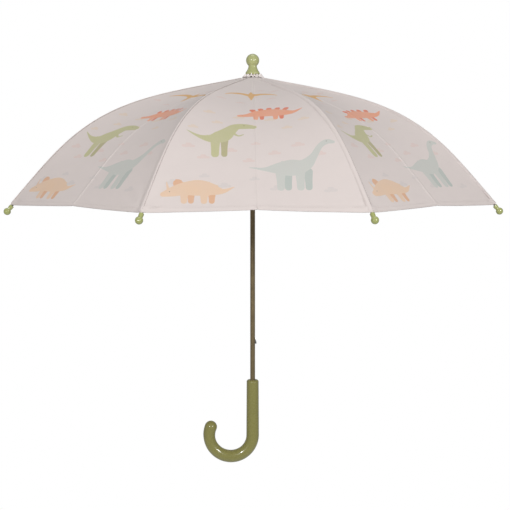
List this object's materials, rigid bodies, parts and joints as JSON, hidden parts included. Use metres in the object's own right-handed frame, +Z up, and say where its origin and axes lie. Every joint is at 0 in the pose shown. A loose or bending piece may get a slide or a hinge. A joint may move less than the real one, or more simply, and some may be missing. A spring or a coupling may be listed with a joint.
{
  "type": "children's umbrella",
  "caption": "Child's stick umbrella, open, with a ribbed cloth canopy, sliding runner, stretchers, ball tips and a crook handle.",
  "frame": {"origin": "centre of the handle's straight grip, on the shaft's axis", "axes": "+Z up the shaft towards the finial, -X towards the crook's open end, -Y through the middle of one gore"},
  "size_m": [0.659, 0.659, 0.5955],
  "materials": {
    "canopy_cloth": "plain weave, pale pinkish beige with a printed pattern",
    "collar_cloth": "gathered plain weave",
    "strap_cloth": "folded and stitched plain weave",
    "bronze_shaft": "satin dark bronze paint",
    "rib_steel": "grey-coated channel steel",
    "stretcher_steel": "grey-coated channel steel",
    "wire_steel": "drawn wire",
    "stop_steel": "crimped ring",
    "catch_steel": "spring steel",
    "snap_steel": "pressed snap",
    "tip_plastic": "light green gloss",
    "finial_plastic": "light green gloss",
    "olive_handle": "olive green gloss",
    "crown_plastic": "black moulded",
    "runner_plastic": "black moulded"
  },
  "bodies": {
    "stick": {"shaft": "bronze_shaft", "handle": "olive_handle", "finial": "finial_plastic", "rosette": "collar_cloth", "crown": "crown_plastic", "crown_wire": "wire_steel", "stop_ring": "stop_steel"},
    "runner": {"runner": "runner_plastic", "runner_wire": "wire_steel"},
    "rib_1": {"rib_1": "rib_steel", "tip_1": "tip_plastic"},
    "stretcher_1": {"stretcher_1": "stretcher_steel"},
    "panel_1_left": {"panel_1_left": "canopy_cloth"},
    "panel_1_right": {"panel_1_right": "canopy_cloth"},
    "rib_2": {"rib_2": "rib_steel", "tip_2": "tip_plastic"},
    "stretcher_2": {"stretcher_2": "stretcher_steel"},
    "panel_2_left": {"panel_2_left": "canopy_cloth"},
    "panel_2_right": {"panel_2_right": "canopy_cloth"},
    "rib_3": {"rib_3": "rib_steel", "tip_3": "tip_plastic"},
    "stretcher_3": {"stretcher_3": "stretcher_steel"},
    "panel_3_left": {"panel_3_left": "canopy_cloth"},
    "panel_3_right": {"panel_3_right": "canopy_cloth"},
    "rib_4": {"rib_4": "rib_steel", "tip_4": "tip_plastic"},
    "stretcher_4": {"stretcher_4": "stretcher_steel"},
    "panel_4_left": {"panel_4_left": "canopy_cloth"},
    "panel_4_right": {"panel_4_right": "canopy_cloth"},
    "rib_5": {"rib_5": "rib_steel", "tip_5": "tip_plastic"},
    "stretcher_5": {"stretcher_5": "stretcher_steel"},
    "panel_5_left": {"panel_5_left": "canopy_cloth"},
    "panel_5_right": {"panel_5_right": "canopy_cloth"},
    "rib_6": {"rib_6": "rib_steel", "tip_6": "tip_plastic"},
    "stretcher_6": {"stretcher_6": "stretcher_steel"},
    "panel_6_left": {"panel_6_left": "canopy_cloth"},
    "panel_6_right": {"panel_6_right": "canopy_cloth"},
    "rib_7": {"rib_7": "rib_steel", "tip_7": "tip_plastic"},
    "stretcher_7": {"stretcher_7": "stretcher_steel"},
    "panel_7_left": {"panel_7_left": "canopy_cloth"},
    "panel_7_right": {"panel_7_right": "canopy_cloth"},
    "rib_8": {"rib_8": "rib_steel", "tip_8": "tip_plastic"},
    "stretcher_8": {"stretcher_8": "stretcher_steel"},
    "panel_8_left": {"panel_8_left": "canopy_cloth"},
    "panel_8_right": {"panel_8_right": "canopy_cloth"},
    "top_catch": {"top_catch": "catch_steel"},
    "bottom_catch": {"bottom_catch": "catch_steel"},
    "strap": {"tie_strap": "strap_cloth", "snap_stud": "snap_steel", "snap_socket": "snap_steel"}
  },
  "joints": [
    {"name": "runner_slide", "type": "slide", "parent": "stick", "child": "runner", "axis": [0, 0, -1], "range_m": [0, 0.2304]},
    {"name": "rib_1_hinge", "type": "hinge", "parent": "stick", "child": "rib_1", "pos_m": [0.00287, -0.00693, 0.4739], "axis": [0.9239, 0.3827, 0], "range_deg": [0, 61.45]},
    {"name": "stretcher_1_hinge", "type": "hinge", "parent": "runner", "child": "stretcher_1", "pos_m": [0.00383, -0.00924, 0.38009], "axis": [-0.9239, -0.3827, 0], "range_deg": [0, 55.39]},
    {"name": "panel_1_left_fold", "type": "hinge", "parent": "rib_1", "child": "panel_1_left", "pos_m": [0.00425, -0.00636, 0.4739], "axis": [-0.7005, 0.5465, -0.459], "range_deg": [0, 22.75], "deforming": ["panel_1_left"]},
    {"name": "panel_1_right_fold", "type": "hinge", "parent": "rib_1", "child": "panel_1_right", "pos_m": [0.00149, -0.0075, 0.4739], "axis": [-0.1088, -0.8818, 0.459], "range_deg": [0, 22.75], "deforming": ["panel_1_right"]},
    {"name": "rib_2_hinge", "type": "hinge", "parent": "stick", "child": "rib_2", "pos_m": [0.00693, -0.00287, 0.4739], "axis": [0.3827, 0.9239, 0], "range_deg": [0, 61.45]},
    {"name": "stretcher_2_hinge", "type": "hinge", "parent": "runner", "child": "stretcher_2", "pos_m": [0.00924, -0.00383, 0.38009], "axis": [-0.3827, -0.9239, 0], "range_deg": [0, 55.39]},
    {"name": "panel_2_left_fold", "type": "hinge", "parent": "rib_2", "child": "panel_2_left", "pos_m": [0.0075, -0.00149, 0.4739], "axis": [-0.8818, -0.1088, -0.459], "range_deg": [0, 22.75], "deforming": ["panel_2_left"]},
    {"name": "panel_2_right_fold", "type": "hinge", "parent": "rib_2", "child": "panel_2_right", "pos_m": [0.00636, -0.00425, 0.4739], "axis": [0.5465, -0.7005, 0.459], "range_deg": [0, 22.75], "deforming": ["panel_2_right"]},
    {"name": "rib_3_hinge", "type": "hinge", "parent": "stick", "child": "rib_3", "pos_m": [0.00693, 0.00287, 0.4739], "axis": [-0.3827, 0.9239, 0], "range_deg": [0, 61.45]},
    {"name": "stretcher_3_hinge", "type": "hinge", "parent": "runner", "child": "stretcher_3", "pos_m": [0.00924, 0.00383, 0.38009], "axis": [0.3827, -0.9239, 0], "range_deg": [0, 55.39]},
    {"name": "panel_3_left_fold", "type": "hinge", "parent": "rib_3", "child": "panel_3_left", "pos_m": [0.00636, 0.00425, 0.4739], "axis": [-0.5465, -0.7005, -0.459], "range_deg": [0, 22.75], "deforming": ["panel_3_left"]},
    {"name": "panel_3_right_fold", "type": "hinge", "parent": "rib_3", "child": "panel_3_right", "pos_m": [0.0075, 0.00149, 0.4739], "axis": [0.8818, -0.1088, 0.459], "range_deg": [0, 22.75], "deforming": ["panel_3_right"]},
    {"name": "rib_4_hinge", "type": "hinge", "parent": "stick", "child": "rib_4", "pos_m": [0.00287, 0.00693, 0.4739], "axis": [-0.9239, 0.3827, 0], "range_deg": [0, 61.45]},
    {"name": "stretcher_4_hinge", "type": "hinge", "parent": "runner", "child": "stretcher_4", "pos_m": [0.00383, 0.00924, 0.38009], "axis": [0.9239, -0.3827, 0], "range_deg": [0, 55.39]},
    {"name": "panel_4_left_fold", "type": "hinge", "parent": "rib_4", "child": "panel_4_left", "pos_m": [0.00149, 0.0075, 0.4739], "axis": [0.1088, -0.8818, -0.459], "range_deg": [0, 22.75], "deforming": ["panel_4_left"]},
    {"name": "panel_4_right_fold", "type": "hinge", "parent": "rib_4", "child": "panel_4_right", "pos_m": [0.00425, 0.00636, 0.4739], "axis": [0.7005, 0.5465, 0.459], "range_deg": [0, 22.75], "deforming": ["panel_4_right"]},
    {"name": "rib_5_hinge", "type": "hinge", "parent": "stick", "child": "rib_5", "pos_m": [-0.00287, 0.00693, 0.4739], "axis": [-0.9239, -0.3827, 0], "range_deg": [0, 61.45]},
    {"name": "stretcher_5_hinge", "type": "hinge", "parent": "runner", "child": "stretcher_5", "pos_m": [-0.00383, 0.00924, 0.38009], "axis": [0.9239, 0.3827, 0], "range_deg": [0, 55.39]},
    {"name": "panel_5_left_fold", "type": "hinge", "parent": "rib_5", "child": "panel_5_left", "pos_m": [-0.00425, 0.00636, 0.4739], "axis": [0.7005, -0.5465, -0.459], "range_deg": [0, 22.75], "deforming": ["panel_5_left"]},
    {"name": "panel_5_right_fold", "type": "hinge", "parent": "rib_5", "child": "panel_5_right", "pos_m": [-0.00149, 0.0075, 0.4739], "axis": [0.1088, 0.8818, 0.459], "range_deg": [0, 22.75], "deforming": ["panel_5_right"]},
    {"name": "rib_6_hinge", "type": "hinge", "parent": "stick", "child": "rib_6", "pos_m": [-0.00693, 0.00287, 0.4739], "axis": [-0.3827, -0.9239, 0], "range_deg": [0, 61.45]},
    {"name": "stretcher_6_hinge", "type": "hinge", "parent": "runner", "child": "stretcher_6", "pos_m": [-0.00924, 0.00383, 0.38009], "axis": [0.3827, 0.9239, 0], "range_deg": [0, 55.39]},
    {"name": "panel_6_left_fold", "type": "hinge", "parent": "rib_6", "child": "panel_6_left", "pos_m": [-0.0075, 0.00149, 0.4739], "axis": [0.8818, 0.1088, -0.459], "range_deg": [0, 22.75], "deforming": ["panel_6_left"]},
    {"name": "panel_6_right_fold", "type": "hinge", "parent": "rib_6", "child": "panel_6_right", "pos_m": [-0.00636, 0.00425, 0.4739], "axis": [-0.5465, 0.7005, 0.459], "range_deg": [0, 22.75], "deforming": ["panel_6_right"]},
    {"name": "rib_7_hinge", "type": "hinge", "parent": "stick", "child": "rib_7", "pos_m": [-0.00693, -0.00287, 0.4739], "axis": [0.3827, -0.9239, 0], "range_deg": [0, 61.45]},
    {"name": "stretcher_7_hinge", "type": "hinge", "parent": "runner", "child": "stretcher_7", "pos_m": [-0.00924, -0.00383, 0.38009], "axis": [-0.3827, 0.9239, 0], "range_deg": [0, 55.39]},
    {"name": "panel_7_left_fold", "type": "hinge", "parent": "rib_7", "child": "panel_7_left", "pos_m": [-0.00636, -0.00425, 0.4739], "axis": [0.5465, 0.7005, -0.459], "range_deg": [0, 22.75], "deforming": ["panel_7_left"]},
    {"name": "panel_7_right_fold", "type": "hinge", "parent": "rib_7", "child": "panel_7_right", "pos_m": [-0.0075, -0.00149, 0.4739], "axis": [-0.8818, 0.1088, 0.459], "range_deg": [0, 22.75], "deforming": ["panel_7_right"]},
    {"name": "rib_8_hinge", "type": "hinge", "parent": "stick", "child": "rib_8", "pos_m": [-0.00287, -0.00693, 0.4739], "axis": [0.9239, -0.3827, 0], "range_deg": [0, 61.45]},
    {"name": "stretcher_8_hinge", "type": "hinge", "parent": "runner", "child": "stretcher_8", "pos_m": [-0.00383, -0.00924, 0.38009], "axis": [-0.9239, 0.3827, 0], "range_deg": [0, 55.39]},
    {"name": "panel_8_left_fold", "type": "hinge", "parent": "rib_8", "child": "panel_8_left", "pos_m": [-0.00149, -0.0075, 0.4739], "axis": [-0.1088, 0.8818, -0.459], "range_deg": [0, 22.75], "deforming": ["panel_8_left"]},
    {"name": "panel_8_right_fold", "type": "hinge", "parent": "rib_8", "child": "panel_8_right", "pos_m": [-0.00425, -0.00636, 0.4739], "axis": [-0.7005, -0.5465, 0.459], "range_deg": [0, 22.75], "deforming": ["panel_8_right"]},
    {"name": "top_catch_press", "type": "slide", "parent": "stick", "child": "top_catch", "axis": [-1, 0, 0], "range_m": [0, 0.002], "stiffness_N_per_m": 400},
    {"name": "bottom_catch_press", "type": "slide", "parent": "stick", "child": "bottom_catch", "axis": [-1, 0, 0], "range_m": [0, 0.002], "stiffness_N_per_m": 400},
    {"name": "strap_lift", "type": "hinge", "parent": "panel_4_left", "child": "strap", "pos_m": [0.01203, 0.31653, 0.31195], "axis": [-1, -0.0007, -0.0007], "range_deg": [0, 150], "deforming": ["tie_strap"]}
  ],
  "couplings": [
    {"joint": "rib_1_hinge", "follows": "runner_slide", "rad_per_m": 4.6512},
    {"joint": "stretcher_1_hinge", "follows": "runner_slide", "rad_per_m": 4.1921},
    {"joint": "panel_1_left_fold", "follows": "runner_slide", "rad_per_m": 1.7196},
    {"joint": "panel_1_right_fold", "follows": "runner_slide", "rad_per_m": 1.7196},
    {"joint": "rib_2_hinge", "follows": "runner_slide", "rad_per_m": 4.6512},
    {"joint": "stretcher_2_hinge", "follows": "runner_slide", "rad_per_m": 4.1921},
    {"joint": "panel_2_left_fold", "follows": "runner_slide", "rad_per_m": 1.7196},
    {"joint": "panel_2_right_fold", "follows": "runner_slide", "rad_per_m": 1.7196},
    {"joint": "rib_3_hinge", "follows": "runner_slide", "rad_per_m": 4.6512},
    {"joint": "stretcher_3_hinge", "follows": "runner_slide", "rad_per_m": 4.1921},
    {"joint": "panel_3_left_fold", "follows": "runner_slide", "rad_per_m": 1.7196},
    {"joint": "panel_3_right_fold", "follows": "runner_slide", "rad_per_m": 1.7196},
    {"joint": "rib_4_hinge", "follows": "runner_slide", "rad_per_m": 4.6512},
    {"joint": "stretcher_4_hinge", "follows": "runner_slide", "rad_per_m": 4.1921},
    {"joint": "panel_4_left_fold", "follows": "runner_slide", "rad_per_m": 1.7196},
    {"joint": "panel_4_right_fold", "follows": "runner_slide", "rad_per_m": 1.7196},
    {"joint": "rib_5_hinge", "follows": "runner_slide", "rad_per_m": 4.6512},
    {"joint": "stretcher_5_hinge", "follows": "runner_slide", "rad_per_m": 4.1921},
    {"joint": "panel_5_left_fold", "follows": "runner_slide", "rad_per_m": 1.7196},
    {"joint": "panel_5_right_fold", "follows": "runner_slide", "rad_per_m": 1.7196},
    {"joint": "rib_6_hinge", "follows": "runner_slide", "rad_per_m": 4.6512},
    {"joint": "stretcher_6_hinge", "follows": "runner_slide", "rad_per_m": 4.1921},
    {"joint": "panel_6_left_fold", "follows": "runner_slide", "rad_per_m": 1.7196},
    {"joint": "panel_6_right_fold", "follows": "runner_slide", "rad_per_m": 1.7196},
    {"joint": "rib_7_hinge", "follows": "runner_slide", "rad_per_m": 4.6512},
    {"joint": "stretcher_7_hinge", "follows": "runner_slide", "rad_per_m": 4.1921},
    {"joint": "panel_7_left_fold", "follows": "runner_slide", "rad_per_m": 1.7196},
    {"joint": "panel_7_right_fold", "follows": "runner_slide", "rad_per_m": 1.7196},
    {"joint": "rib_8_hinge", "follows": "runner_slide", "rad_per_m": 4.6512},
    {"joint": "stretcher_8_hinge", "follows": "runner_slide", "rad_per_m": 4.1921},
    {"joint": "panel_8_left_fold", "follows": "runner_slide", "rad_per_m": 1.7196},
    {"joint": "panel_8_right_fold", "follows": "runner_slide", "rad_per_m": 1.7196}
  ]
}
